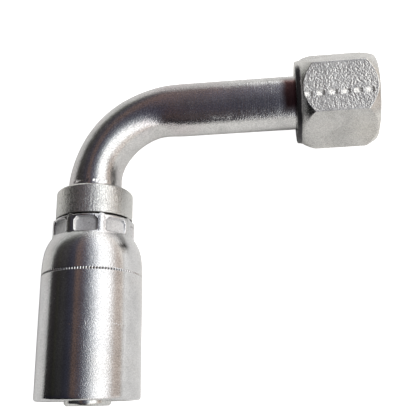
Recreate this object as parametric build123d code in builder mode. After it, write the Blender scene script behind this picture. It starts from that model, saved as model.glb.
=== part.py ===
from build123d import *
import os
from math import tan, radians, sqrt

os.makedirs("parts", exist_ok=True)

# 90 degree bent-tube hydraulic hose end: a crimp shell staked to a barbed stem,
# a swept tube elbow brazed into the stem, and a loose hexagon swivel nut held
# by a 37 degree seat nose on the tube's other end.
#
# Frame: millimetres. Origin at the centre of the seat nose's rim, on the port
# axis. +X points out of the port, -Y points out of the hose end, +Z is up with
# the fitting lying on its side.

# ---------------------------------------------------------------- dimensions
# bent tube
TUBE_OD = 20.0
TUBE_WALL = 2.4
BEND_R = 30.0             # centre-line radius, 1.5 x tube diameter
DROP = 96.5               # seat rim to hose axis
TUBE_FOOT_Y = -43.0       # bottom of the tube in the stem's socket
TUBE_END_X = -7.0         # end of the tube in the seat nose's socket

# stem (insert)
COLLAR_OD = 28.0
COLLAR_TOP_Y = -32.4
LIP_Y = -44.0             # collar's lower face, where the shell's lip lies
GROOVE_R = 12.2           # staking groove
GROOVE_END_Y = -50.8
FLANGE_R = 13.2
FLANGE_END_Y = -53.4
TAIL_R = 9.2              # root of the hose tail
BARB_R = 9.7              # crest of the barbs
BARB_COUNT = 8
BARB_PITCH = 4.6
BARB_FIRST_Y = -61.5
NOSE_OD = 15.9
NOSE_TIP_Y = -107.9
STEM_BORE = 12.6

# crimp shell
SHELL_OD = 36.0
SHELL_IN_R = 15.4         # crests of the inner teeth
SHELL_END_Y = -106.3
NECK_R = 14.6
NECK_END_Y = -50.1
SHOULDER_END_Y = -62.0
MARK_Y = -64.0            # crimp position line
MARK_W = 1.0
MARK_DEPTH = 0.25
TEETH = 8
TOOTH_PITCH = 4.4
TOOTH_FIRST_Y = -66.0
TOOTH_DEPTH = 0.7
STAKE_COUNT = 8
STAKE_Y = -47.45          # middle of the staking marks
STAKE_HEIGHT = 5.4
STAKE_WIDTH = 8.6
STAKE_FLAT_R = 13.35      # distance of each staked flat from the hose axis
STAKE_PHASE = 3.8         # first mark, degrees from +Z towards +X

# swivel nut, 1-1/16-12 UN
NUT_AF = 31.75            # 1-1/4 in across flats
NUT_REAR_X = -20.4
NUT_FACE_X = 9.0
NUT_CLOCK = 7.6           # clocking of the hexagon at rest
RIM_REAR_R = 15.25         # rounded shoulder behind the rear chamfer
RIM_EDGE = 0.5            # rounding of its rear edge
SHOULDER_X = -18.6        # where the rear chamfer starts
SHOULDER_R = 15.5
RIM_FACE_R = 15.35
CHAMFER_SLOPE = 0.65      # radial rise per mm along the axis
CHAMFER_CROWN = 0.06      # the chamfers are very slightly crowned
THREAD_MINOR_R = 12.36
THREAD_MAJOR_R = 13.49
REAR_BORE_R = 11.0
RELIEF_R = 12.65
SHOULDER_GAP = 0.1        # axial play between nut and seat nose

# seat nose, 37 degree
NOSE_R = 12.25
SEAT_RIM_R = 11.75
SEAT_ANGLE = 37.0
SEAT_BACK_X = -13.0
NOSE_BACK_R = 11.25

tube_r = TUBE_OD / 2
tube_in_r = tube_r - TUBE_WALL
hose_x = -DROP
hose_plane = Plane(origin=(hose_x, 0, 0), x_dir=(1, 0, 0), z_dir=(0, 0, 1))
hose_axis = Axis((hose_x, 0, 0), (0, 1, 0))
port_axis = Axis((0, 0, 0), (1, 0, 0))

# ---------------------------------------------------------------- elbow tube
# Foot in the stem, a 90 degree bend, and the long straight leg to the port.
with BuildPart() as elbow_tube:
    with BuildLine(Plane.XY) as route:
        foot = Line((hose_x, TUBE_FOOT_Y), (hose_x, -BEND_R))
        bend = RadiusArc((hose_x, -BEND_R), (hose_x + BEND_R, 0), BEND_R)
        leg = Line((hose_x + BEND_R, 0), (TUBE_END_X, 0))
    with BuildSketch(Plane(origin=(hose_x, TUBE_FOOT_Y, 0), z_dir=(0, 1, 0))):
        Circle(tube_r)
        Circle(tube_in_r, mode=Mode.SUBTRACT)
    sweep(path=route.line)
elbow_tube.part.label = "elbow_tube"
export_step(elbow_tube.part, "parts/elbow_tube.step")

# ---------------------------------------------------------------- hose stem
# Turned in one piece: collar with the tube socket, staking groove, flange and
# the barbed tail with its plain nose.
barbs = []
for i in range(BARB_COUNT):
    y = BARB_FIRST_Y - i * BARB_PITCH
    # square shoulder on the collar side, land, then a long ramp to the nose
    barbs += [(TAIL_R, y), (BARB_R, y), (BARB_R, y - 1.0), (TAIL_R, y - 3.4)]
with BuildPart() as hose_stem:
    with BuildSketch(hose_plane):
        with BuildLine():
            Polyline(
                (tube_r, COLLAR_TOP_Y),
                (COLLAR_OD / 2 - 0.7, COLLAR_TOP_Y),
                (COLLAR_OD / 2, COLLAR_TOP_Y - 0.7),
                (COLLAR_OD / 2, LIP_Y),
                (GROOVE_R, LIP_Y),
                (GROOVE_R, GROOVE_END_Y),
                (FLANGE_R, GROOVE_END_Y),
                (FLANGE_R, FLANGE_END_Y + 0.5),
                (FLANGE_R - 0.5, FLANGE_END_Y),
                (TAIL_R, FLANGE_END_Y),
                *barbs,
                (TAIL_R, -100.0),
                (NOSE_OD / 2, -102.2),
                (NOSE_OD / 2, NOSE_TIP_Y + 0.7),
                (NOSE_OD / 2 - 0.7, NOSE_TIP_Y),
                (STEM_BORE / 2 + 0.3, NOSE_TIP_Y),
                (STEM_BORE / 2, NOSE_TIP_Y + 0.3),
                (STEM_BORE / 2, TUBE_FOOT_Y - 1.3),
                (tube_in_r, TUBE_FOOT_Y),
                (tube_r, TUBE_FOOT_Y),
                close=True,
            )
        make_face()
    revolve(axis=hose_axis)
hose_stem.part.label = "hose_stem"
export_step(hose_stem.part, "parts/hose_stem.step")

# ---------------------------------------------------------------- crimp shell
# Open cylinder with annular teeth inside; its neck is drawn in to the stem's
# groove and closed there by eight staking marks.
with BuildPart() as crimp_shell:
    with BuildSketch(hose_plane):
        with BuildLine():
            l1 = Polyline(
                (GROOVE_R, GROOVE_END_Y),
                (GROOVE_R, LIP_Y),
                (NECK_R - 0.5, LIP_Y),
                (NECK_R, LIP_Y - 0.5),
                (NECK_R, NECK_END_Y),
            )
            # bell-shaped shoulder, steep at the neck and tangent to the body
            l2 = EllipticalCenterArc(
                (NECK_R, SHOULDER_END_Y),
                SHELL_OD / 2 - NECK_R,
                NECK_END_Y - SHOULDER_END_Y,
                start_angle=0,
                arc_size=90,
            )
            l3 = Polyline(
                (SHELL_OD / 2, SHOULDER_END_Y),
                (SHELL_OD / 2, SHELL_END_Y),
                (SHELL_IN_R + 0.6, SHELL_END_Y),
                (SHELL_IN_R, SHELL_END_Y + 0.6),
                (SHELL_IN_R, -57.5),
                (FLANGE_R + 0.2, FLANGE_END_Y + 1.0),
                (FLANGE_R + 0.2, GROOVE_END_Y),
                (GROOVE_R, GROOVE_END_Y),
            )
        make_face()
    revolve(axis=hose_axis)
    fillet(
        crimp_shell.edges()
        .filter_by(GeomType.CIRCLE)
        .filter_by(lambda e: abs(e.radius - SHELL_OD / 2) < 1e-3)
        .filter_by(lambda e: abs(e.center().Y - SHELL_END_Y) < 1e-3),
        radius=1.0,
    )
    # crimp position line round the body
    with BuildSketch(hose_plane):
        with Locations((SHELL_OD / 2, MARK_Y)):
            Rectangle(2 * MARK_DEPTH, MARK_W)
    revolve(axis=hose_axis, mode=Mode.SUBTRACT)
    # annular teeth in the bore
    with BuildSketch(hose_plane):
        for i in range(TEETH):
            y = TOOTH_FIRST_Y - i * TOOTH_PITCH
            with BuildLine():
                Polyline(
                    (SHELL_IN_R - 0.3, y + 0.2),
                    (SHELL_IN_R + TOOTH_DEPTH, y - 0.6),
                    (SHELL_IN_R + TOOTH_DEPTH, y - 1.6),
                    (SHELL_IN_R - 0.3, y - 2.4),
                    close=True,
                )
            make_face()
    revolve(axis=hose_axis, mode=Mode.SUBTRACT)
    # eight staking marks pressed into the neck
    stake_circle = Plane(origin=(hose_x, STAKE_Y, 0), x_dir=(0, 0, 1), z_dir=(0, 1, 0))
    with Locations(stake_circle):
        with PolarLocations(0, STAKE_COUNT, start_angle=STAKE_PHASE):
            with Locations((STAKE_FLAT_R + 1.5, 0, 0)):
                Box(3.0, STAKE_WIDTH, STAKE_HEIGHT, mode=Mode.SUBTRACT)
crimp_shell.part.label = "crimp_shell"
export_step(crimp_shell.part, "parts/crimp_shell.step")

# ---------------------------------------------------------------- braze rings
# Small concave fillets of brazing alloy where the tube enters its two sockets.
with BuildPart() as stem_braze_ring:
    with BuildSketch(hose_plane):
        with BuildLine():
            Line((tube_r, COLLAR_TOP_Y), (tube_r + 1.3, COLLAR_TOP_Y))
            ThreePointArc(
                (tube_r + 1.3, COLLAR_TOP_Y),
                (tube_r + 0.45, COLLAR_TOP_Y + 0.4),
                (tube_r, COLLAR_TOP_Y + 1.2),
            )
            Line((tube_r, COLLAR_TOP_Y + 1.2), (tube_r, COLLAR_TOP_Y))
        make_face()
    revolve(axis=hose_axis)
stem_braze_ring.part.label = "stem_braze_ring"
export_step(stem_braze_ring.part, "parts/stem_braze_ring.step")

with BuildPart() as seat_braze_ring:
    with BuildSketch(Plane.XY):
        with BuildLine():
            Line((SEAT_BACK_X, tube_r), (SEAT_BACK_X, tube_r + 0.7))
            ThreePointArc(
                (SEAT_BACK_X, tube_r + 0.7),
                (SEAT_BACK_X - 0.25, tube_r + 0.25),
                (SEAT_BACK_X - 0.7, tube_r),
            )
            Line((SEAT_BACK_X - 0.7, tube_r), (SEAT_BACK_X, tube_r))
        make_face()
    revolve(axis=port_axis)
seat_braze_ring.part.label = "seat_braze_ring"
export_step(seat_braze_ring.part, "parts/seat_braze_ring.step")

# ---------------------------------------------------------------- seat nose
# Socket for the tube behind, 37 degree flared seat in front, and a 45 degree
# shoulder that the nut pulls on.
cone_depth = (SEAT_RIM_R - tube_in_r) / tan(radians(SEAT_ANGLE))
with BuildPart() as seat_nose:
    with BuildSketch(Plane.XY):
        with BuildLine():
            Polyline(
                (SEAT_BACK_X, tube_r),
                (SEAT_BACK_X, NOSE_BACK_R),
                (SEAT_BACK_X + (NOSE_R - NOSE_BACK_R), NOSE_R),
                (-0.25, NOSE_R),
                (0, NOSE_R - 0.25),
                (0, SEAT_RIM_R),
                (-cone_depth, tube_in_r),
                (TUBE_END_X, tube_in_r),
                (TUBE_END_X, tube_r),
                close=True,
            )
        make_face()
    revolve(axis=port_axis)
seat_nose.part.label = "seat_nose"
export_step(seat_nose.part, "parts/seat_nose.step")

# ---------------------------------------------------------------- swivel nut
nut_length = NUT_FACE_X - NUT_REAR_X
nut_corner_r = NUT_AF / sqrt(3)
blank_r = nut_corner_r + 1.0
with BuildPart() as swivel_nut:
    with BuildSketch(Plane.YZ.offset(NUT_REAR_X)):
        RegularPolygon(NUT_AF / 2, 6, major_radius=False, rotation=NUT_CLOCK)
    extrude(amount=nut_length)
    # turned chamfers at both ends of the hexagon
    with BuildSketch(Plane.XY):
        with BuildLine():
            rear_rise = (blank_r - SHOULDER_R) / CHAMFER_SLOPE
            face_rise = (blank_r - RIM_FACE_R) / CHAMFER_SLOPE
            Line((NUT_REAR_X, 0), (NUT_REAR_X, RIM_REAR_R - RIM_EDGE))
            ThreePointArc(
                (NUT_REAR_X, RIM_REAR_R - RIM_EDGE),
                (NUT_REAR_X + RIM_EDGE * (1 - sqrt(0.5)), RIM_REAR_R - RIM_EDGE * (1 - sqrt(0.5))),
                (NUT_REAR_X + RIM_EDGE, RIM_REAR_R),
            )
            Line((NUT_REAR_X + RIM_EDGE, RIM_REAR_R), (SHOULDER_X, SHOULDER_R))
            ThreePointArc(
                (SHOULDER_X, SHOULDER_R),
                (SHOULDER_X + rear_rise / 2 - CHAMFER_CROWN, (SHOULDER_R + blank_r) / 2 + CHAMFER_CROWN),
                (SHOULDER_X + rear_rise, blank_r),
            )
            Line((SHOULDER_X + rear_rise, blank_r), (NUT_FACE_X - face_rise, blank_r))
            ThreePointArc(
                (NUT_FACE_X - face_rise, blank_r),
                (NUT_FACE_X - face_rise / 2 + CHAMFER_CROWN, (RIM_FACE_R + blank_r) / 2 + CHAMFER_CROWN),
                (NUT_FACE_X, RIM_FACE_R),
            )
            Polyline((NUT_FACE_X, RIM_FACE_R), (NUT_FACE_X, 0), (NUT_REAR_X, 0))
        make_face()
    revolve(axis=port_axis, mode=Mode.INTERSECT)
    # bore: clearance for the tube, shoulder, relief, threaded wall, mouth
    shoulder_x = SEAT_BACK_X - SHOULDER_GAP - (NOSE_BACK_R - REAR_BORE_R)
    mouth_r = THREAD_MAJOR_R + 0.1
    with BuildSketch(Plane.XY):
        with BuildLine():
            Polyline(
                (NUT_REAR_X - 1, 0),
                (NUT_REAR_X - 1, REAR_BORE_R + 1.4),
                (NUT_REAR_X + 0.4, REAR_BORE_R),
                (shoulder_x, REAR_BORE_R),
                (shoulder_x + (RELIEF_R - REAR_BORE_R), RELIEF_R),
                (-(RELIEF_R - THREAD_MINOR_R), RELIEF_R),
                (0, THREAD_MINOR_R),
                (NUT_FACE_X - (mouth_r - THREAD_MINOR_R), THREAD_MINOR_R),
                (NUT_FACE_X + 1, mouth_r + 1),
                (NUT_FACE_X + 1, 0),
                close=True,
            )
        make_face()
    revolve(axis=port_axis, mode=Mode.SUBTRACT)
swivel_nut.part.label = "swivel_nut"
export_step(swivel_nut.part, "parts/swivel_nut.step")
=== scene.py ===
import math

import bpy
import numpy as np
from mathutils import Matrix, Vector


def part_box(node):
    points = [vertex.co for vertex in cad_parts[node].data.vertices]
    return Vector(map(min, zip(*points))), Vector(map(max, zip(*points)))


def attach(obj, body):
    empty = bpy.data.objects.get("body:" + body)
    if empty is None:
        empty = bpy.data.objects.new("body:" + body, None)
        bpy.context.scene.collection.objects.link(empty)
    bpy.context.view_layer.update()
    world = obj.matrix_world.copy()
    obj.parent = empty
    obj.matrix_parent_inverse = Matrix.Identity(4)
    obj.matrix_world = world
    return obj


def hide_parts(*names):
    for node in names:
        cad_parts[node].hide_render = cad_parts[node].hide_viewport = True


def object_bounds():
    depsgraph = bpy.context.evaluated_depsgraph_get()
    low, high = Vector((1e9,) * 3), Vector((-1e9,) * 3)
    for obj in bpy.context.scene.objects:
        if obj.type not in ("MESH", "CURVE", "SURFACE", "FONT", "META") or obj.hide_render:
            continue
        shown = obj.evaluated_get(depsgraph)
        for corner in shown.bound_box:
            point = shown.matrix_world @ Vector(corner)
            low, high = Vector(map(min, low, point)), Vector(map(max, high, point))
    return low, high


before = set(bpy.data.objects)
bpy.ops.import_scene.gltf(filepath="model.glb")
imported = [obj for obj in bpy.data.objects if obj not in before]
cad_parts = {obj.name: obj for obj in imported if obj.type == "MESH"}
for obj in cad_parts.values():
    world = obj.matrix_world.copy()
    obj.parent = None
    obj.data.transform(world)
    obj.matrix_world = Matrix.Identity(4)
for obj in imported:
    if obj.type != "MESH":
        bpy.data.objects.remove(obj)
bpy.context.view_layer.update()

# Bent-tube hydraulic hose end with a swivel nut, zinc plated.
# Shapes are worked out in millimetres in the frame of the CAD model and scaled to metres.
MM = 0.001


# ------------------------------------------------------------------ frame places
def box_mm(node):
    lo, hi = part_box(node)
    return np.array(lo) / MM, np.array(hi) / MM


shell_lo, shell_hi = box_mm("crimp_shell")
stem_lo, stem_hi = box_mm("hose_stem")
tube_lo, tube_hi = box_mm("elbow_tube")
nut_lo, nut_hi = box_mm("swivel_nut")
nose_lo, nose_hi = box_mm("seat_nose")

HOSE_X = (shell_lo[0] + shell_hi[0]) / 2
SHELL_R = (shell_hi[0] - shell_lo[0]) / 2
SHELL_END = shell_lo[1]
LIP_Y = shell_hi[1]
COLLAR_TOP = stem_hi[1]
COLLAR_R = (stem_hi[0] - stem_lo[0]) / 2
TIP_Y = stem_lo[1]
TUBE_R = (tube_hi[2] - tube_lo[2]) / 2
TUBE_IN = TUBE_R - 2.4
TUBE_FOOT = tube_lo[1]
TUBE_END = tube_hi[0]
BEND_R = 30.0
STAKE_PHASE = 3.8
STAKE_MID, STAKE_TOP, STAKE_BOTTOM = -47.45, -44.75, -50.25
MARK_Y = -64.0
NUT_REAR, NUT_FACE = nut_lo[0], nut_hi[0]
NUT_AF = 31.75


# ------------------------------------------------------------------ mesh tools
def hash_noise(ix, iy, seed):
    h = np.sin(ix * 127.1 + iy * 311.7 + seed * 74.7) * 43758.5453
    return h - np.floor(h)


def value_noise(x, y, seed=0, wrap_x=None):
    """Smooth value noise in two dimensions, periodic in x over wrap_x cells if given."""
    x0, y0 = np.floor(x), np.floor(y)
    fx, fy = x - x0, y - y0
    fx = fx * fx * fx * (fx * (fx * 6 - 15) + 10)
    fy = fy * fy * fy * (fy * (fy * 6 - 15) + 10)
    x1 = x0 + 1
    if wrap_x:
        x0, x1 = np.mod(x0, wrap_x), np.mod(x1, wrap_x)
    a, b = hash_noise(x0, y0, seed), hash_noise(x1, y0, seed)
    c, d = hash_noise(x0, y0 + 1, seed), hash_noise(x1, y0 + 1, seed)
    return (a + (b - a) * fx) * (1 - fy) + (c + (d - c) * fx) * fy - 0.5


def smooth(e0, e1, x):
    t = np.clip((x - e0) / (e1 - e0), 0, 1)
    return t * t * (3 - 2 * t)


def soft_min(a, b, k):
    h = np.clip(0.5 + 0.5 * (b - a) / k, 0, 1)
    return b * (1 - h) + a * h - k * h * (1 - h)


def grid_piece(name, P, body, replaces, uv=None, zone=None, shade=None):
    """A closed surface from a grid of points that wraps both ways. uv holds millimetres along and around."""
    nv, nu = P.shape[:2]
    idx = np.arange(nv * nu).reshape(nv, nu)
    quads = np.stack(
        [idx, np.roll(idx, -1, 1), np.roll(np.roll(idx, -1, 0), -1, 1), np.roll(idx, -1, 0)],
        -1,
    ).reshape(-1, 4)
    flat = P.reshape(-1, 3)
    a, b, c, d = (flat[quads[:, i]] for i in range(4))
    vol = (np.einsum("ij,ij->i", a, np.cross(b, c)) + np.einsum("ij,ij->i", a, np.cross(c, d))).sum()
    if vol < 0:
        quads = quads[:, ::-1]
    mesh = bpy.data.meshes.new(name)
    mesh.vertices.add(len(flat))
    mesh.vertices.foreach_set("co", (flat * MM).astype(np.float32).ravel())
    mesh.loops.add(quads.size)
    mesh.loops.foreach_set("vertex_index", quads.astype(np.int32).ravel())
    mesh.polygons.add(len(quads))
    mesh.polygons.foreach_set("loop_start", np.arange(0, quads.size, 4, dtype=np.int32))
    mesh.update(calc_edges=True)
    mesh.validate()
    mesh.polygons.foreach_set("use_smooth", np.ones(len(mesh.polygons), bool))
    if uv is not None:
        att = mesh.attributes.new("flow", "FLOAT_VECTOR", "POINT")
        full = np.concatenate([uv.reshape(-1, uv.shape[-1]), np.zeros((len(flat), 3 - uv.shape[-1]))], 1)
        att.data.foreach_set("vector", full.astype(np.float32).ravel())
    if zone is not None:
        att = mesh.attributes.new("zone", "FLOAT", "POINT")
        att.data.foreach_set("value", np.ascontiguousarray(zone, np.float32).ravel())
    if shade is not None:
        att = mesh.attributes.new("shade", "FLOAT", "POINT")
        att.data.foreach_set("value", np.ascontiguousarray(shade, np.float32).ravel())
    obj = bpy.data.objects.new(name, mesh)
    bpy.context.scene.collection.objects.link(obj)
    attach(obj, body)
    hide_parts(*replaces)
    return obj


def resample(points, step):
    """A polyline with its corners kept and its long runs divided."""
    out = []
    pts = np.array(points, float)
    n = len(pts)
    for i in range(n):
        p, q = pts[i], pts[(i + 1) % n]
        k = max(1, int(math.ceil(np.linalg.norm(q - p) / step)))
        out += [p + (q - p) * t / k for t in range(k)]
    return np.array(out)


def rounded(points, radii, seg=5):
    """Closed profile of (r, a) points with its corners rounded."""
    pts = np.array(points, float)
    n = len(pts)
    out = []
    for i in range(n):
        p0, p, p1 = pts[i - 1], pts[i], pts[(i + 1) % n]
        r = radii[i] if hasattr(radii, "__len__") else radii
        d0, d1 = p0 - p, p1 - p
        l0, l1 = np.linalg.norm(d0), np.linalg.norm(d1)
        d0, d1 = d0 / l0, d1 / l1
        cosang = np.clip(d0 @ d1, -1, 1)
        ang = math.acos(cosang)
        if r <= 0 or ang > math.radians(176):
            out.append(p)
            continue
        t = min(r / math.tan(ang / 2), 0.45 * l0, 0.45 * l1)
        a, b = p + d0 * t, p + d1 * t
        for k in range(seg + 1):
            s = k / seg
            out.append((1 - s) ** 2 * a + 2 * s * (1 - s) * p + s * s * b)
    return np.array(out)


def around(th, r):
    """Distance round from the front, with the seam at the back."""
    return (np.mod(th + math.pi, 2 * math.pi) - math.pi) * r


def ring_about_hose(profile, n):
    """Points of a (r, y) profile turned about the hose axis, with the angle from +Z towards +X."""
    th = np.linspace(0, 2 * np.pi, n, endpoint=False)
    r, y = profile[:, 0:1], profile[:, 1:2]
    P = np.stack(
        [HOSE_X + r * np.sin(th), y + 0 * th, r * np.cos(th)], -1
    )
    return P, th


def ring_about_port(profile, n):
    """Points of a (r, x) profile turned about the port axis, with the angle from +Y towards +Z."""
    th = np.linspace(0, 2 * np.pi, n, endpoint=False)
    r, x = profile[:, 0:1], profile[:, 1:2]
    return np.stack([x + 0 * th, r * np.cos(th), r * np.sin(th)], -1), th


# ------------------------------------------------------------------ crimp shell
def shell_radius(y):
    """Outside radius of the shell before staking."""
    ky = np.array([-112.0, -70, -66, -63.5, -61.5, -59.5, -57.5, -55.5, -53.8, -52.4, -51.5, -51.0, -50.55, -50.2, -49.6, -47, -44, -40])
    kr = np.array([18, 18, 17.996, 17.97, 17.92, 17.81, 17.60, 17.23, 16.68, 16.02, 15.50, 15.16, 14.88, 14.76, 14.73, 14.74, 14.78, 14.8])
    ky = np.where(ky < -43, ky + (LIP_Y + 44.0), ky)
    fine = np.linspace(ky[0], ky[-1], 3000)
    step = np.diff(ky)
    slope = np.diff(kr) / step
    m = np.concatenate([[0.0], (slope[:-1] * step[1:] + slope[1:] * step[:-1]) / (step[:-1] + step[1:]), [0.0]])
    i = np.clip(np.searchsorted(ky, fine) - 1, 0, len(step) - 1)
    t = (fine - ky[i]) / step[i]
    base = (2 * t**3 - 3 * t**2 + 1) * kr[i] + (t**3 - 2 * t**2 + t) * step[i] * m[i] + (3 * t**2 - 2 * t**3) * kr[i + 1] + (t**3 - t**2) * step[i] * m[i + 1]
    w = 34
    ker = np.hanning(w)
    base = np.convolve(np.pad(base, w, "edge"), ker / ker.sum(), "same")[w:-w]
    return np.interp(y, fine, base) + (SHELL_R - 18)


# small dents in the shell: degrees round, y, half width, half height, depth
DENTS = (
    (352.6, -82.3, 0.18, 0.14, 0.05), (350.0, -82.2, 0.14, 0.12, 0.04), (355.0, -82.6, 0.16, 0.30, 0.06),
    (6.0, -83.5, 0.40, 0.14, 0.05), (8.5, -83.9, 0.16, 0.16, 0.05), (12.2, -82.5, 0.13, 0.95, 0.07), (10.4, -83.3, 0.30, 0.14, 0.05),
    (39.0, -82.2, 0.16, 0.26, 0.05), (41.4, -82.5, 0.14, 0.20, 0.06), (44.2, -82.2, 0.22, 0.14, 0.06), (46.8, -82.6, 0.14, 0.30, 0.06), (50.0, -82.3, 0.20, 0.22, 0.06), (53.4, -82.7, 0.16, 0.30, 0.06),
)


def build_shell():
    n = 1008
    th = np.linspace(0, 2 * np.pi, n, endpoint=False)
    deg = np.degrees(th)
    # distance round from the middle of the nearest staking mark, in degrees
    phase = deg - STAKE_PHASE + 22.5
    off = np.mod(phase, 45) - 22.5
    which = np.floor(np.mod(phase, 360) / 45)
    jit = [hash_noise(which, 0 * which, k) - 0.5 for k in (3, 5, 8, 13)]
    rib = smooth(16.5, 21.5, np.abs(off))
    wob = 0.05 * np.sin(3 * th + 1.0) + 0.04 * np.sin(7 * th + 0.4)

    rows = []
    pressed = {}
    # lip: out from the collar's foot, over its rolled edge
    lip = [(12.2, -0.05, 0), (13.2, -0.05, 0), (13.6, -0.07, 0.0), (13.75, -0.9, 0.1), (14.02, -1.05, 0.35), (14.18, -0.95, 0.55),
           (14.24, -0.6, 0.8), (14.3, -0.25, 1), (14.42, -0.02, 1), (14.55, 0.04, 1), (14.68, 0.0, 1), (14.78, -0.12, 1)]
    for r, dy, k in lip:
        y = LIP_Y + dy + k * (0.42 * rib - 0.16 + wob)
        rows.append((np.full(n, r) - 0.10 * k * (1 - rib), y))
    y0 = LIP_Y - 0.25
    ys = np.concatenate([
        np.linspace(y0, -51.4, 90)[:-1],
        np.arange(-51.4, -62.5, -0.28),
        np.arange(-62.6, -65.2, -0.06),
        np.arange(-65.4, -80.4, -1.0),
        np.arange(-80.6, -84.5, -0.11),
        np.arange(-84.8, SHELL_END + 1.2, -1.0),
    ])
    for y in ys:
        k = smooth(-47.0, -44.4, y)
        yy = y + k * (0.36 * rib - 0.16 + wob)
        r = np.full(n, shell_radius(np.array([y]))[0])
        if y > -51.5:
            # staking mark: a pressed flat, its upper corners cut, with sloping walls and a wider ledge below
            s_ = off * 14.2 * math.pi / 180 + 0.15 * jit[0]
            half = 4.25 + 0.25 * jit[1]
            top = STAKE_TOP + 0.2 * jit[2]
            bot = STAKE_BOTTOM + 0.15 * jit[3]
            side = (np.abs(s_) - half) / 0.75
            up = (y - top) / 0.6
            down = (bot - y) / 0.75
            cut = (np.abs(s_) - half + (y - top) + 1.25) / 1.1
            cut2 = (np.abs(s_) - half + (bot - y) + 0.5) / 1.2
            e = np.maximum(np.maximum(side, up), np.maximum(np.maximum(down, cut), cut2))
            m = smooth(0.15, -1.0, e)
            hollow = 0.42 * (1 - (s_ / 4.4) ** 2) + 0.05 * value_noise(s_ * 0.7 + which * 9, y * 0.9 + 0 * s_, 5)
            floor_r = 13.7 / np.cos(np.radians(off)) - hollow - 0.16 * (y - STAKE_MID) / 2.6 + 0.05 * ((y - STAKE_MID) / 2.6) ** 2
            r = r + (floor_r - r) * m
            pressed[len(rows)] = smooth(-0.1, -0.9, e)
            # metal pushed up between the marks
            r = r + 0.16 * rib * smooth(-51.0, -49.6, y) * smooth(-44.3, -45.2, y)
        # crimp position line: a shallow groove crossed by short ridges
        g = smooth(MARK_Y - 0.48, MARK_Y - 0.34, y) * smooth(MARK_Y + 0.56, MARK_Y + 0.10, y)
        if g > 0:
            ridge = (0.5 + 0.5 * np.cos(th * 112 + 0.6 * np.sin(th * 5))) ** 0.75
            r = r - 0.26 * g * (1 - 0.97 * ridge)
        # worn, unreadable tool dents
        if -84.6 < y < -80.6:
            for d0, y0_, w_, h_, dep in DENTS:
                e = np.hypot((deg - d0) * math.pi / 180 * SHELL_R / w_, (y - y0_) / h_)
                r = r - dep * smooth(1.1, 0.45, e)
        # drawn surface: very slight waviness
        r = r + 0.012 * value_noise(deg / 360 * 24, y / 9 + 0 * deg, 9, 24) * smooth(-50, -60, y) - 0.006
        rows.append((r, yy))
    # rounded end, mouth and the toothed bore
    for a in np.linspace(0, 90, 9)[1:]:
        rows.append((np.full(n, SHELL_R - 1.0 + math.cos(math.radians(a)) * 1.0 - 0.006), np.full(n, SHELL_END + 1.0 - math.sin(math.radians(a)) * 1.0)))
    inner = [(16.5, SHELL_END), (16.1, SHELL_END + 0.05), (15.9, SHELL_END + 0.2), (15.45, SHELL_END + 0.6), (15.4, SHELL_END + 0.8)]
    teeth = []
    for i in range(8):
        y = -66.0 - i * 4.4
        teeth += [(15.4, y - 2.5), (15.55, y - 2.25), (15.95, y - 1.75), (16.1, y - 1.5), (16.1, y - 0.7), (15.9, y - 0.45), (15.55, y - 0.05), (15.4, y + 0.15)]
    teeth = sorted(teeth, key=lambda p: p[1])
    inner += teeth
    inner += [(15.4, -58.0), (15.2, -57.2), (13.5, -52.6), (13.4, -52.3), (13.4, -50.85), (12.25, -50.8), (12.2, -50.7), (12.2, LIP_Y - 0.1)]
    for r, y in inner:
        rows.append((np.full(n, r), np.full(n, y)))
    R = np.array([q[0] for q in rows])
    Y = np.array([q[1] + 0 * th for q in rows])
    P = np.stack([HOSE_X + R * np.sin(th), Y, R * np.cos(th)], -1)
    uv = np.stack([Y, np.broadcast_to(around(th, 18), Y.shape), R], -1)
    zone = np.zeros(Y.shape)
    for i, v in pressed.items():
        zone[i] = v
    return grid_piece("crimp_shell_body", P, "fitting", ["crimp_shell"], uv, zone)


shell = build_shell()


# ------------------------------------------------------------------ hose stem
def build_stem():
    prof = [
        (TUBE_R, COLLAR_TOP), (COLLAR_R - 0.75, COLLAR_TOP), (COLLAR_R, COLLAR_TOP - 0.75),
        (COLLAR_R, LIP_Y + 0.75), (COLLAR_R - 0.35, LIP_Y + 0.45), (COLLAR_R - 0.35, LIP_Y), (12.2, LIP_Y), (12.2, -50.8), (13.2, -50.8), (13.2, -52.9), (12.7, -53.4), (9.2, -53.4),
    ]
    rad = [0.15, 0.35, 0.35, 0.15, 0.1, 0.05, 0, 0, 0.15, 0.2, 0.2, 0.5]
    for i in range(8):
        y = -61.5 - i * 4.6
        prof += [(9.2, y), (9.7, y), (9.7, y - 1.0), (9.2, y - 3.4)]
        rad += [0.15, 0.08, 0.3, 0.5]
    prof += [
        (9.2, -100.0), (7.95, -102.2), (7.95, TIP_Y + 0.75), (7.2, TIP_Y), (6.6, TIP_Y), (6.3, TIP_Y + 0.3),
        (6.3, TUBE_FOOT - 1.3), (TUBE_IN, TUBE_FOOT), (TUBE_R, TUBE_FOOT),
    ]
    rad += [0.8, 0.8, 0.45, 0.25, 0.1, 0.1, 0.3, 0.0, 0]
    prof = rounded(prof, rad, 5)
    prof = resample(prof, 1.2)
    n = 480
    P, th = ring_about_hose(prof, n)
    # the collar is very slightly out of true where it was gripped
    R = np.hypot(P[..., 0] - HOSE_X, P[..., 2])
    on = (R > COLLAR_R - 0.02) & (P[..., 1] < COLLAR_TOP - 0.5)
    dr = 0.02 * value_noise(np.broadcast_to(th / (2 * np.pi) * 40, R.shape), P[..., 1] / 7, 4, 40) * on - 0.01 * on
    P[..., 0] += dr * np.sin(th)
    P[..., 2] += dr * np.cos(th)
    uv = np.stack([P[..., 1], np.broadcast_to(around(th, 14), R.shape), R], -1)
    return grid_piece("hose_stem_body", P, "fitting", ["hose_stem"], uv)


stem = build_stem()


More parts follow.
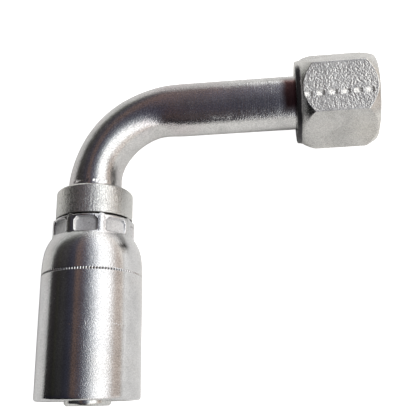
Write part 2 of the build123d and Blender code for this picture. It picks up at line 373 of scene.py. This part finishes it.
# ------------------------------------------------------------------ elbow tube
def build_tube():
    n = 160
    th = np.linspace(0, 2 * np.pi, n, endpoint=False)
    st = []
    for y in np.arange(TUBE_FOOT, -BEND_R, 1.0):
        st.append((HOSE_X, y, 0.0, y + BEND_R))
    arc = 0.5 * math.pi * BEND_R
    for k in range(0, 73):
        a = k / 72 * math.pi / 2
        st.append((HOSE_X + BEND_R - BEND_R * math.cos(a), -BEND_R + BEND_R * math.sin(a), a, a * BEND_R))
    leg0 = HOSE_X + BEND_R
    m = 60
    for k in range(1, m + 1):
        x = leg0 + (TUBE_END - leg0) * k / m
        st.append((x, 0.0, math.pi / 2, arc + x - leg0))
    st = np.array(st)

    def rings(radius, squash, taper=True):
        P, U = [], []
        for x, y, a, s in st:
            # in-plane direction away from the bend's centre, and the path's direction
            out = np.array([-math.cos(a), math.sin(a), 0.0])
            bend = smooth(-4, 12, s) * smooth(arc + 4, arc - 12, s)
            ip = radius * (1 - squash * bend)
            oop = radius * (1 + 0.012 * bend)
            cy = np.cos(th) * ip
            cz = np.sin(th) * oop
            # the inside of the bend is a little flatter than the outside
            if squash:
                cy = cy + bend * 0.25 * np.where(np.cos(th) < 0, (np.cos(th) ** 2) * 0.6, 0)
                wr = 0.035 * value_noise(th / (2 * np.pi) * 12 + 0 * th, s / 5.0 + 0 * th, 2, 12) * bend
                wr = wr + 0.012 * value_noise(th / (2 * np.pi) * 30, s / 2.2 + 0 * th, 8, 30)
                cy, cz = cy + wr * np.cos(th), cz + wr * np.sin(th)
            p = np.array([x, y, 0.0]) + cy[:, None] * out + cz[:, None] * np.array([0, 0, 1.0])
            P.append(p)
            U.append(np.stack([np.full(n, s), th * 10, np.full(n, radius)], -1))
        return P, U

    outer, ou = rings(TUBE_R - 0.012, 0.082)
    innr, iu = rings(TUBE_IN, 0.06)
    P = np.array(outer + innr[::-1])
    U = np.array(ou + iu[::-1])
    return grid_piece("elbow_tube_body", P, "fitting", ["elbow_tube"], U)


tube = build_tube()


# ------------------------------------------------------------------ braze rings
def build_braze(name, node, about_port):
    lo, hi = box_mm(node)
    n = 240
    th = np.linspace(0, 2 * np.pi, n, endpoint=False)
    wob = 0.05 * np.sin(2 * th + 0.5) + 0.03 * np.sin(5 * th + 2.0) + 0.02 * np.sin(11 * th)
    seg = 10
    rows = []
    if about_port:
        h = hi[0] - lo[0]
        w = (hi[2] - lo[2]) / 2 - TUBE_R
        base = hi[0]
        sign = -1
    else:
        h = hi[1] - lo[1]
        w = (hi[2] - lo[2]) / 2 - TUBE_R
        base = lo[1]
        sign = 1
    for k in range(seg + 1):
        t = k / seg
        rr = w * (1 - t) ** 1.7 * (1 + 0 * th)
        hh = h * (t ** 1.7)
        scale = np.clip(0.62 + wob, 0.45, 1.0)
        rows.append((TUBE_R + np.maximum(rr * scale, 0.0), hh * scale))
    rows.append((TUBE_R - 0.02 + 0 * th, 0.5 * h + 0 * th))
    rows.append((TUBE_R - 0.02 + 0 * th, 0.0 * th))
    R = np.array([q[0] for q in rows])
    H = np.array([q[1] for q in rows])
    A = base + sign * H
    if about_port:
        P = np.stack([A, R * np.cos(th), R * np.sin(th)], -1)
    else:
        P = np.stack([HOSE_X + R * np.sin(th), A, R * np.cos(th)], -1)
    uv = np.stack([A, np.broadcast_to(around(th, 10), A.shape), R], -1)
    return grid_piece(name, P, "fitting", [node], uv)


braze_a = build_braze("stem_braze_fillet", "stem_braze_ring", False)
braze_b = build_braze("seat_braze_fillet", "seat_braze_ring", True)


# ------------------------------------------------------------------ seat nose
def build_nose():
    back, front, r = nose_lo[0], nose_hi[0], (nose_hi[2] - nose_lo[2]) / 2
    depth = (11.75 - TUBE_IN) / math.tan(math.radians(37))
    prof = [
        (TUBE_R, back), (11.25, back), (r, back + 1.0), (r, front - 0.25), (r - 0.25, front), (11.75, front),
        (TUBE_IN, front - depth), (TUBE_IN, TUBE_END), (TUBE_R, TUBE_END),
    ]
    prof = resample(rounded(prof, [0.1, 0.2, 0.25, 0.12, 0.1, 0.12, 0.5, 0, 0], 4), 0.8)
    P, th = ring_about_port(prof, 320)
    uv = np.stack([P[..., 0], np.broadcast_to(around(th, 12), P.shape[:2]), np.hypot(P[..., 1], P[..., 2])], -1)
    return grid_piece("seat_nose_body", P, "fitting", ["seat_nose"], uv)


nose = build_nose()


# ------------------------------------------------------------------ swivel nut
CLOCK = math.radians(-7.6)      # normal of the marked flat, from +Z towards +Y
PITCH = 25.4 / 12
MINOR, MAJOR = 12.36, 13.49
NOTCH_U = (3.9, 8.2, 12.7, 17.1, 21.3, 25.4)      # from the rear face
NOTCH_T = (2.55, 2.45, 2.4, 2.35, 2.3, 2.25)      # towards the lower edge of the flat


def build_nut():
    n = 1200
    th = np.linspace(0, 2 * np.pi, n, endpoint=False)  # from +Y towards +Z
    normal = math.pi / 2 - CLOCK
    rel = np.mod(th - normal + math.pi / 6, math.pi / 3) - math.pi / 6
    face = np.mod(np.round((th - normal) / (math.pi / 3)), 6)
    ri = NUT_AF / 2
    # hexagon with slightly softened corners
    hexr = ri / np.cos(rel)
    other = ri / np.cos(math.pi / 3 - np.abs(rel))
    hexr = soft_min(hexr, other, 0.20)
    length = NUT_FACE - NUT_REAR
    xs = np.concatenate([
        np.linspace(0, 7.5, 76)[:-1],
        np.linspace(7.5, length - 6.5, 150)[:-1],
        np.linspace(length - 6.5, length, 66),
    ])
    rows = []
    turned = {}
    # rear face, from the bore outwards
    for r, x in [(11.0, 0.55), (11.05, 0.42), (11.25, 0.18), (11.42, 0.05), (11.6, 0.0), (12.4, 0), (13.2, 0), (13.9, 0)]:
        rows.append((np.full(n, r), np.full(n, NUT_REAR + x)))
    for x in xs:
        wave = 0.10 * value_noise(face * 3.1 + rel * 2, 0.2 + 0 * rel, 12)
        # rounded shoulder, then the chamfer
        rear = 15.25 + 0.25 * (x - 0.5) / 1.3 - 0.5 * (1 - math.sqrt(max(0.0, 1 - max(0.0, 1 - x / 0.5) ** 2)))
        rear = max(rear, 15.42 + 0.65 * (x - 1.8))
        front = 15.35 + 0.66 * (length - x) - 0.45 * max(0.0, 1 - (length - x) / 0.6) ** 2
        cone = min(rear, front) + wave * 0.4
        r = soft_min(hexr, cone + 0 * hexr, 0.22)
        rows.append((r, np.full(n, NUT_REAR + x)))
        turned[len(rows) - 1] = smooth(-0.08, 0.12, hexr - cone)
    # front face, mouth and helical thread
    for r, x in [(14.7, 0), (14.3, 0), (13.95, 0.0), (13.72, -0.03), (13.6, -0.14)]:
        rows.append((np.full(n, r), np.full(n, NUT_FACE + x)))
    for x in np.arange(-0.22, -(length - 7.4), -0.07):
        X = NUT_FACE + x
        mouth = 13.6 + (x + 0.1)
        wall = MINOR
        ph = np.mod((X - PITCH * th / (2 * np.pi)) / PITCH + 0.5, 1) - 0.5
        g = np.clip((np.abs(ph) - 0.125) / (0.5 - 0.125 - 0.0625), 0, 1)
        fade = smooth(-1.4, 0.4, X)
        r = MINOR + (MAJOR - MINOR) * g * fade
        relief = MINOR + (12.65 - MINOR) * smooth(0.1, -0.3, X)
        r = np.maximum(r, relief)
        r = np.maximum(r, mouth) if mouth > MINOR else r
        if X < -11.7:
            cone = 12.65 + (X + 11.7)
            r = np.minimum(r, np.maximum(cone, 11.0))
        rows.append((r, np.full(n, X)))
    for X in [-14.0, -16.0, -18.0]:
        rows.append((np.full(n, 11.0), np.full(n, X)))
    R = np.array([q[0] for q in rows])
    X = np.array([q[1] for q in rows])
    P = np.stack([X, R * np.cos(th), R * np.sin(th)], -1)

    # marks pressed into one flat: a rough ground with a row of short notches
    nrm = np.array([0, math.cos(normal), math.sin(normal)])
    tan = np.array([0, -math.sin(normal), math.cos(normal)])
    h = P @ nrm
    t = P @ tan
    flat = smooth(ri - 0.06, ri - 0.01, h) * (np.abs(rel) < 0.56) * (face == 0)
    u = X - NUT_REAR
    # t runs towards -Y
    rough = 0.4 * value_noise(u / 0.9, t / 0.9, 21) + 0.8 * value_noise(u / 0.42 + 3, t / 0.42, 22) + 1.0 * value_noise(u / 0.27, t / 0.27, 23)
    area = smooth(1.0, 3.2, u) * smooth(length - 0.4, length - 1.8, u) * smooth(-8.9, -8.2, t) * smooth(9.0, 8.5, t)
    d = 0.115 * np.clip(0.55 + rough, 0, 2) * area
    # two loose rows of small dents, smeared by wear
    for row_t, pitch, dep in ((-5.4, 1.25, 0.07), (-3.0, 1.15, 0.09), (-0.5, 1.3, 0.09)):
        for k in range(20):
            pick = [hash_noise(np.float64(k), np.float64(row_t), j) for j in (2, 6, 9, 11)]
            c = 4.0 + k * pitch + 0.5 * (pick[1] - 0.5)
            if c > length - 3.0 or pick[0] < 0.22:
                continue
            lean = 1.2 * (pick[2] - 0.5)
            du, dt = u - c, t - row_t - 0.9 * (pick[3] - 0.5)
            e = np.hypot((du + lean * dt) / (0.26 + 0.3 * pick[0]), dt / (0.3 + 0.4 * pick[2]))
            d = d + 1.2 * dep * smooth(1.2, 0.5, e)
    for k in range(6):
        c = NOTCH_U[k]
        e = (u - c) / 1.65
        # a wedge-shaped notch, deepest at its right-hand end
        prof = smooth(-1.0, 0.5, e) * smooth(1.0, 0.72, e)
        w = 1.05 - 0.15 * np.clip(-e, 0, 1)
        d = d + 0.62 * prof * smooth(1.0, 0.5, np.abs(t - NOTCH_T[k]) / w)
    P = P - (d * flat)[..., None] * nrm
    # the other flats are forged, barely uneven
    other_flat = (face != 0)
    P = P * (1 - (0.0009 * (0.5 + value_noise(u / 3.5 + face * 7, t / 3.5, 31)) * other_flat * (R > 14.9))[..., None] * np.array([0, 1, 1]))
    uv = np.stack([X, np.broadcast_to(around(th, 16), X.shape), R], -1)
    zone = np.ones(X.shape)
    for i, v in turned.items():
        zone[i] = v
    # painted shade and dark reflection round the back of the nut, beside the tube, and over its lower side
    edge = np.cos(th) + 0.10 * value_noise(th * 6, X * 0.8, 44)
    back = smooth(-17.9, -19.2, X + 0.25 * value_noise(th * 9, 0 * X, 45)) * smooth(0.80, 0.35, edge)
    low = 0.55 * smooth(-16.0, -18.4, X) * smooth(-0.15, -0.55, edge) * smooth(0.3, 0.8, zone)
    back = np.maximum(back, low)
    zone = zone - back * (zone + 1.0)
    # painted light: the marked top flat is a little brighter than the plain ones
    shade = np.where((face == 0) & (np.abs(rel) < 0.53), 1.20, 0.93) + 0 * X
    shade = np.where(zone > 0.5, 0.95, shade)
    return grid_piece("swivel_nut_body", P, "nut", ["swivel_nut"], uv, zone, shade)


nut = build_nut()


# ------------------------------------------------------------------ materials
def nodes_of(name):
    mat = bpy.data.materials.new(name)
    mat.use_nodes = True
    nt = mat.node_tree
    bsdf = next(n for n in nt.nodes if n.type == "BSDF_PRINCIPLED")
    return mat, nt, bsdf


class Net:
    """Short forms for building a node tree."""

    def __init__(self, nt):
        self.nt = nt

    def node(self, kind, **props):
        n = self.nt.nodes.new(kind)
        for k, v in props.items():
            setattr(n, k, v)
        return n

    def link(self, a, b):
        self.nt.links.new(a, b)

    def put(self, socket, value):
        if hasattr(value, "is_output") or hasattr(value, "links"):
            self.link(value, socket)
        else:
            socket.default_value = value

    def math(self, op, a, b=0.0, c=None, clamp=False):
        n = self.node("ShaderNodeMath", operation=op, use_clamp=clamp)
        self.put(n.inputs[0], a)
        self.put(n.inputs[1], b)
        if c is not None:
            self.put(n.inputs[2], c)
        return n.outputs[0]

    def noise(self, vec, scale, detail=3.0, rough=0.55, w=None):
        n = self.node("ShaderNodeTexNoise")
        self.link(vec, n.inputs["Vector"])
        n.inputs["Scale"].default_value = scale
        n.inputs["Detail"].default_value = detail
        n.inputs["Roughness"].default_value = rough
        return n.outputs["Fac"]

    def remap(self, v, a, b, c=0.0, d=1.0, smooth=True):
        n = self.node("ShaderNodeMapRange", interpolation_type="SMOOTHSTEP" if smooth else "LINEAR")
        self.put(n.inputs["Value"], v)
        n.inputs["From Min"].default_value = a
        n.inputs["From Max"].default_value = b
        n.inputs["To Min"].default_value = c
        n.inputs["To Max"].default_value = d
        return n.outputs["Result"]

    def mix(self, fac, a, b):
        n = self.node("ShaderNodeMix", data_type="RGBA")
        self.put(n.inputs[0], fac)
        for s, v in ((n.inputs[6], a), (n.inputs[7], b)):
            if isinstance(v, tuple):
                s.default_value = (*v, 1) if len(v) == 3 else v
            else:
                self.link(v, s)
        return n.outputs[2]

    def stretch(self, vec, sx, sy, sz):
        n = self.node("ShaderNodeMapping")
        self.link(vec, n.inputs["Vector"])
        n.inputs["Scale"].default_value = (sx, sy, sz)
        return n.outputs["Vector"]

    def bump(self, height, strength, distance, normal=None):
        n = self.node("ShaderNodeBump")
        self.put(n.inputs["Height"], height)
        n.inputs["Strength"].default_value = strength
        n.inputs["Distance"].default_value = distance
        if normal is not None:
            self.link(normal, n.inputs["Normal"])
        return n.outputs["Normal"]


def zinc(name, tint, rough, rough_var, speck, speck_mm, waves=0.1, streak=0.0, streak_mm=0.5, pits=0.5, scratches=0.4, metal=1.0, zone=None, zone_metal=1.0, shade_band=None, tool=None, groove_shade=None, rim_shade=None, shaded=False, calm=None, cloudy=0.88, polish=None, dull=None, patch=(0.98, 0.95, 0.90), grain=0.3):
    """Zinc plating on steel: cloudy tone, fine speckle, pits, scratches and tool marks."""
    mat, nt, bsdf = nodes_of(name)
    N = Net(nt)
    obj = N.node("ShaderNodeTexCoord").outputs["Object"]
    flow = N.node("ShaderNodeAttribute", attribute_name="flow").outputs["Vector"]
    light = tint
    dark = tuple(c * cloudy for c in tint)
    cloud = N.noise(obj, 110, 4, 0.6)
    fine = N.noise(obj, 1700, 2, 0.6)
    base = N.mix(N.remap(cloud, 0.36, 0.64), dark, light)
    warm = N.noise(obj, 38, 3, 0.5)
    base = N.mix(N.math("MULTIPLY", N.remap(warm, 0.48, 0.72), 0.6), base, tuple(c * k for c, k in zip(light, patch)))
    # grain of the plating, in tone
    grey = N.noise(obj, 2300, 1, 0.5)
    tone = N.remap(grey, 0.36, 0.64, 1.0 - grain, 1.0 + grain * 0.4, smooth=False)
    shade = N.node("ShaderNodeVectorMath", operation="SCALE")
    N.link(base, shade.inputs[0])
    N.link(tone, shade.inputs["Scale"])
    base = shade.outputs[0]
    sepf = N.node("ShaderNodeSeparateXYZ")
    N.link(flow, sepf.inputs[0])
    if shade_band:
        # painted shade band along the part, standing in for dark reflection and crevice shade: from, to, softness,
        # colour
        for s0, s1, soft, colour, *across_ in shade_band:
            edge = N.math("ADD", sepf.outputs[0], N.math("MULTIPLY", N.math("SUBTRACT", N.noise(obj, 160, 2, 0.5), 0.5), soft * 2.2))
            m = N.math("MULTIPLY", N.remap(edge, s0 - soft, s0 + soft), N.remap(edge, s1 + soft, s1 - soft))
            if across_:
                t0, t1, tsoft = across_
                m = N.math("MULTIPLY", m, N.math("MULTIPLY", N.remap(sepf.outputs[1], t0 - tsoft, t0 + tsoft), N.remap(sepf.outputs[1], t1 + tsoft, t1 - tsoft)))
            base = N.mix(m, base, colour)
    if shaded:
        # painted light and shade: base colour scaled per face by the shade attribute
        own = N.node("ShaderNodeVectorMath", operation="SCALE")
        N.link(base, own.inputs[0])
        N.link(N.node("ShaderNodeAttribute", attribute_name="shade").outputs["Fac"], own.inputs["Scale"])
        base = own.outputs[0]
    if groove_shade:
        # painted shade at the bottom of a pressed line: along from, to, radius of the bottom, of the top, colour
        s0, s1, r0, r1, colour = groove_shade
        m = N.math("MULTIPLY", N.remap(sepf.outputs[0], s0 - 0.08, s0 + 0.02), N.remap(sepf.outputs[0], s1 + 0.08, s1 - 0.02))
        m = N.math("MULTIPLY", m, N.remap(sepf.outputs[2], r1, r0))
        base = N.mix(m, base, colour)
    if rim_shade:
        # painted shade and dark reflection: darker where the zone attribute falls below zero, round the back of the
        # nut
        zc = N.node("ShaderNodeAttribute", attribute_name="zone").outputs["Fac"]
        base = N.mix(N.remap(zc, 0.3, -0.9, 0, 1), base, rim_shade)
    # tiny dark pits
    vor = N.node("ShaderNodeTexVoronoi")
    N.link(obj, vor.inputs["Vector"])
    vor.inputs["Scale"].default_value = 620
    vor.inputs["Randomness"].default_value = 1.0
    pit = N.remap(vor.outputs["Distance"], 0.20, 0.10)
    sel = N.remap(N.noise(obj, 300, 2, 0.5), 0.54, 0.60)
    pit = N.math("MULTIPLY", N.math("MULTIPLY", pit, sel), pits)
    base = N.mix(pit, base, tuple(c * 0.35 for c in tint))
    N.link(base, bsdf.inputs["Base Color"])
    # streaks left by drawing or turning, along the part
    st = N.noise(N.stretch(flow, 0.05 / streak_mm, 1.0 / streak_mm, 0.0), 1.0, 3, 0.65)
    # scratches: thin lines in three directions
    scr = []
    for ang, sc in ((0.5, 1.0), (-0.9, 0.8), (1.3, 0.7)):
        rot = N.node("ShaderNodeMapping")
        N.link(flow, rot.inputs["Vector"])
        rot.inputs["Rotation"].default_value = (0, 0, ang)
        rot.inputs["Scale"].default_value = (0.10, 2.2 * sc, 0.0)
        nn = N.noise(rot.outputs["Vector"], 1.0, 1, 0.4)
        mask = N.remap(N.noise(N.stretch(flow, 0.13 * sc, 0.13 * sc, 0.0), 1.0, 2, 0.5), 0.60, 0.68)
        scr.append(N.math("MULTIPLY", N.remap(N.math("ABSOLUTE", N.math("SUBTRACT", nn, 0.5)), 0.016, 0.0), mask))
    scratch = N.math("MAXIMUM", N.math("MAXIMUM", scr[0], scr[1]), scr[2])
    scratch = N.math("MULTIPLY", scratch, scratches)
    # roughness
    r = N.math("ADD", rough, N.math("MULTIPLY", N.math("SUBTRACT", cloud, 0.5), rough_var))
    r = N.math("ADD", r, N.math("MULTIPLY", N.math("SUBTRACT", fine, 0.5), rough_var * 0.8))
    r = N.math("ADD", r, N.math("MULTIPLY", scratch, 0.3))
    r = N.math("ADD", r, N.math("MULTIPLY", pit, 0.3), clamp=True)
    if dull:
        # rougher beyond this point: start, amount
        r = N.math("ADD", r, N.math("MULTIPLY", N.remap(sepf.outputs[0], dull[0] - 2, dull[0] + 3), dull[1]))
    N.link(r, bsdf.inputs["Roughness"])
    bsdf.inputs["Metallic"].default_value = metal
    bsdf.inputs["Specular IOR Level"].default_value = 0.5
    if zone:
        # turned faces are smoother and fully metallic
        z = N.node("ShaderNodeAttribute", attribute_name="zone").outputs["Fac"]
        N.link(N.remap(z, 0, 1, metal, zone_metal, smooth=False), bsdf.inputs["Metallic"])
        N.link(N.math("MULTIPLY", r, N.remap(z, 0, 1, 1.0, zone, smooth=False)), bsdf.inputs["Roughness"])
    # relief
    g1 = N.noise(obj, 1000.0 / speck_mm, 2, 0.6)
    if calm:
        # smoother outside one sector: from, to (mm round), share left
        t0, t1, share = calm
        m = N.math("MULTIPLY", N.remap(sepf.outputs[1], t0 - 2.0, t0 + 2.5), N.remap(sepf.outputs[1], t1 + 4, t1 - 3))
        g1 = N.math("MULTIPLY", g1, N.remap(m, 0, 1, share, 1.0, smooth=False))
    if polish is not None:
        # a smoother stretch beyond this point
        m = N.remap(sepf.outputs[0], polish + 1, polish - 1)
        g1 = N.math("MULTIPLY", g1, N.remap(m, 0, 1, 1.0, 0.2, smooth=False))
        st = N.math("MULTIPLY", st, N.remap(m, 0, 1, 1.0, 0.15, smooth=False))
        N.link(N.math("MULTIPLY", r, N.remap(m, 0, 1, 1.0, 0.35, smooth=False)), bsdf.inputs["Roughness"])
    nrm = N.bump(g1, 1.0, speck_mm * speck * MM)
    g2 = N.noise(obj, 330, 2, 0.5)
    nrm = N.bump(g2, 1.0, waves * MM, nrm)
    if streak:
        nrm = N.bump(st, 1.0, streak * MM, nrm)
    if tool:
        # faint marks across the part, left by a gripping die
        s0, s1, depth = tool
        ring = N.noise(N.stretch(flow, 2.2, 0.06, 0.0), 1.0, 2, 0.6)
        m = N.math("MULTIPLY", N.remap(sepf.outputs[0], s0 - 4, s0 + 4), N.remap(sepf.outputs[0], s1 + 1.5, s1 - 1.5))
        nrm = N.bump(N.math("MULTIPLY", ring, m), 1.0, depth * MM, nrm)
    nrm = N.bump(scratch, 1.0, -0.015 * MM, nrm)
    nrm = N.bump(pit, 1.0, -0.02 * MM, nrm)
    N.link(nrm, bsdf.inputs["Normal"])
    return mat


# the shell's near-black colour at the bottom of the crimp line groove is painted shade
m_shell = zinc("shell_zinc_plate", (0.74, 0.74, 0.745), 0.055, 0.05, 0.25, 0.34, waves=0.010, streak=0.003, streak_mm=0.6, pits=0.35, scratches=0.12, grain=0.16, zone=3.2, zone_metal=0.86,
               groove_shade=(MARK_Y - 0.42, MARK_Y + 0.30, SHELL_R - 0.26, SHELL_R - 0.15, (0.10, 0.098, 0.095)), calm=(1.0, 12.5, 0.25), dull=(-58.0, 0.11))
# the stem's dark band just above the lip is painted shade and dark reflection in the crevice
m_stem = zinc("stem_zinc_plate", (0.75, 0.75, 0.73), 0.16, 0.10, 0.16, 0.42, waves=0.010, streak=0.11, streak_mm=0.36, pits=0.4, scratches=0.2, metal=0.97, grain=0.22,
              shade_band=[(LIP_Y - 0.4, LIP_Y + 0.84, 0.14, (0.035, 0.033, 0.030))], polish=-90.0)
# the tube's dark brown band beside the nut, on its upper half, is a painted reflection of the nut's dark rear
m_tube = zinc("tube_zinc_plate", (0.73, 0.725, 0.715), 0.085, 0.09, 0.13, 0.42, waves=0.024, cloudy=0.85, streak=0.004, streak_mm=0.8, pits=0.7, scratches=0.6, metal=0.99, patch=(0.84, 0.75, 0.78), grain=0.24,
              tool=(70, 88, 0.038), shade_band=[(88.0, 130.0, 1.7, (0.12, 0.06, 0.055), 9.5, 23.0, 2.4)])
# the nut's darkest colour is painted shade and dark reflection round its back and lower side
m_nut = zinc("nut_zinc_plate", (0.79, 0.78, 0.755), 0.28, 0.14, 0.13, 0.42, waves=0.03, cloudy=0.80, pits=0.7, scratches=0.3, metal=0.78, zone=0.5, grain=0.20, rim_shade=(0.045, 0.043, 0.045), shaded=True)
m_braze = zinc("braze_zinc_plate", (0.50, 0.49, 0.475), 0.42, 0.12, 0.08, 0.3, waves=0.02, pits=0.3, scratches=0.0)

for obj, mat in ((shell, m_shell), (stem, m_stem), (tube, m_tube), (nose, m_stem), (nut, m_nut), (braze_a, m_braze), (braze_b, m_braze)):
    obj.data.materials.clear()
    obj.data.materials.append(mat)

# ------------------------------------------------------------------ floor
lo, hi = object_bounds()
floor_z = lo[2]
fm = bpy.data.meshes.new("floor")
s = 3.0
fm.from_pydata([(-s, -s, floor_z), (s, -s, floor_z), (s, s, floor_z), (-s, s, floor_z)], [], [(0, 1, 2, 3)])
floor = bpy.data.objects.new("floor", fm)
bpy.context.scene.collection.objects.link(floor)
mat, nt, bsdf = nodes_of("floor_paper")
bsdf.inputs["Base Color"].default_value = (0.77, 0.765, 0.745, 1)
bsdf.inputs["Roughness"].default_value = 0.9
bsdf.inputs["Specular IOR Level"].default_value = 0.0
FN = Net(nt)
bsdf.inputs["Emission Color"].default_value = (1, 1, 1, 1)
FN.link(FN.math("MULTIPLY", FN.node("ShaderNodeLightPath").outputs["Is Camera Ray"], 0.92), bsdf.inputs["Emission Strength"])
fm.materials.append(mat)

# ------------------------------------------------------------------ light
scene = bpy.context.scene
scene.view_settings.view_transform = "Standard"
world = bpy.data.worlds.new("studio")
scene.world = world
world.use_nodes = True
wt = world.node_tree
wt.nodes.clear()
W = Net(wt)
gen = W.node("ShaderNodeTexCoord").outputs["Generated"]
sep = W.node("ShaderNodeSeparateXYZ")
W.link(gen, sep.inputs[0])
dx, dy, dz = sep.outputs


def angle_ramp(side, stops):
    """Colour by the angle from straight up towards +side."""
    ang = W.math("ARCTAN2", side, dz)
    fac = W.remap(ang, -math.pi, math.pi, 0, 1, smooth=False)
    ramp = W.node("ShaderNodeValToRGB")
    ramp.color_ramp.interpolation = "EASE"
    W.link(fac, ramp.inputs[0])
    els = ramp.color_ramp.elements
    while len(els) > 1:
        els.remove(els[0])
    first = True
    for deg, col in stops:
        pos = (deg + 180) / 360
        if first:
            els[0].position = pos
            e = els[0]
            first = False
        else:
            e = els.new(pos)
        e.color = (*col, 1)
    return ramp.outputs["Color"]


def angle_value(side, stops):
    """The same for one number."""
    col = angle_ramp(side, [(d, (v, v, v)) for d, v in stops])
    bw = W.node("ShaderNodeRGBToBW")
    W.link(col, bw.inputs[0])
    return bw.outputs[0]


# across: a dark room on the left, a long soft window on the right, a warm wall low on the right.
# Ramps stop at 1, so they hold half of each value.
across = angle_ramp(dx, [
    (-110, (0.02, 0.02, 0.02)), (-92, (0.014, 0.014, 0.014)), (-78, (0.011, 0.011, 0.011)), (-66, (0.009, 0.009, 0.009)), (-62, (0.017, 0.018, 0.012)), (-58, (0.013, 0.013, 0.014)),
    (-48, (0.020, 0.020, 0.020)), (-38, (0.016, 0.016, 0.020)), (-30, (0.020, 0.021, 0.030)), (-22, (0.032, 0.029, 0.034)), (-17, (0.098, 0.064, 0.050)), (-12, (0.080, 0.056, 0.048)), (-6, (0.034, 0.034, 0.050)),
    (3, (0.060, 0.060, 0.078)), (11, (0.13, 0.135, 0.155)), (18, (0.24, 0.26, 0.28)), (25, (0.55, 0.57, 0.59)), (32, (0.90, 0.90, 0.90)), (52, (0.90, 0.90, 0.90)), (58, (0.74, 0.74, 0.74)),
    (63, (0.40, 0.38, 0.365)), (70, (0.35, 0.305, 0.275)), (84, (0.30, 0.26, 0.23)), (90, (0.24, 0.21, 0.19)), (100, (0.24, 0.235, 0.23)), (112, (0.40, 0.40, 0.39)),
])
along = angle_value(dy, [
    (-110, 0.25), (-92, 0.14), (-83, 0.11), (-68, 0.105), (-55, 0.105), (-42, 0.095), (-30, 0.092), (-17, 0.100), (-4, 0.110), (9, 0.150), (23, 0.165),
    (37, 0.19), (52, 0.21), (71, 0.24), (93, 0.28), (110, 0.30),
])
how = angle_value(dx, [(-60, 0.75), (-10, 1.0), (6, 0.9), (24, 0.25), (60, 0.12), (110, 0.10)])
lift = W.math("POWER", W.math("DIVIDE", along, 0.15), how)
lift = W.math("MULTIPLY", lift, 2.0)
gain = W.node("ShaderNodeVectorMath", operation="SCALE")
W.link(across, gain.inputs[0])
W.link(lift, gain.inputs["Scale"])
# a pale wall behind, on the +Y side
wall = W.node("ShaderNodeVectorMath", operation="ADD")
W.link(gain.outputs[0], wall.inputs[0])
W.link(angle_ramp(dy, [(-50, (0, 0, 0)), (-30, (0.0, 0.0, 0.008)), (-10, (0.0, 0.0, 0.006)), (0, (0, 0, 0)), (18, (0.008, 0.006, 0.006)), (34, (0.020, 0.016, 0.017)), (50, (0.035, 0.031, 0.031)), (65, (0.06, 0.058, 0.055)),
                       (75, (0.24, 0.24, 0.23)), (84, (0.60, 0.61, 0.59)), (94, (0.68, 0.69, 0.67)), (120, (0.68, 0.69, 0.67))]), wall.inputs[1])
bg = W.node("ShaderNodeBackground")
# pale side wall, low on the right and towards -Y
low = W.math("MULTIPLY", angle_value(dx, [(48, 0.0), (62, 0.30), (80, 0.36), (110, 0.36)]), angle_value(dy, [(-60, 1.0), (-28, 0.9), (-6, 0.0)]))
wall2 = W.node("ShaderNodeVectorMath", operation="ADD")
W.link(wall.outputs[0], wall2.inputs[0])
W.link(low, wall2.inputs[1])
W.link(wall2.outputs[0], bg.inputs[0])
bg.inputs[1].default_value = 1.0
pale = W.node("ShaderNodeBackground")
pale.inputs[0].default_value = (0.93, 0.93, 0.93, 1)
lp = W.node("ShaderNodeLightPath")
mixw = W.node("ShaderNodeMixShader")
W.link(lp.outputs["Is Camera Ray"], mixw.inputs[0])
W.link(bg.outputs[0], mixw.inputs[1])
W.link(pale.outputs[0], mixw.inputs[2])
out = W.node("ShaderNodeOutputWorld")
W.link(mixw.outputs[0], out.inputs[0])


def softbox(name, loc, target, size, energy):
    light = bpy.data.lights.new(name, "AREA")
    light.shape = "SQUARE"
    light.size = size
    light.energy = energy
    lamp = bpy.data.objects.new(name, light)
    lamp.location = loc
    lamp.rotation_euler = (Vector(target) - Vector(loc)).to_track_quat("-Z", "Y").to_euler()
    bpy.context.scene.collection.objects.link(lamp)
    lamp.visible_glossy = False
    lamp.visible_camera = False
    return lamp


softbox("overhead_softbox", (-0.05, -0.05, 1.0), (-0.05, -0.05, 0), 1.8, 3.4)
softbox("window_softbox", (0.26, 0.02, 0.42), (-0.03, -0.04, 0), 0.32, 1.5)

# ------------------------------------------------------------------ camera
cam = bpy.data.cameras.new("camera")
camera = bpy.data.objects.new("camera", cam)
bpy.context.scene.collection.objects.link(camera)
scene.camera = camera
F, CX, CY = 640.211, 208.0, 208.0
C = np.array([66.388 + HOSE_X, -110.671, 220.549])
rx, ry, rz = -0.309, -0.109, 0.018


def rot(axis, a):
    return np.array(Matrix.Rotation(a, 3, axis))


R = rot("Z", rz) @ rot("X", rx) @ rot("Y", ry)
cam.sensor_width = 36.0
cam.lens = F / 416 * 36.0
cam.shift_x = (208 - CX) / 416
cam.shift_y = (CY - 208) / 416
cam.clip_start = 0.01
m = Matrix(R.T.tolist()).to_4x4()
m.translation = Vector(C * MM)
camera.matrix_world = m
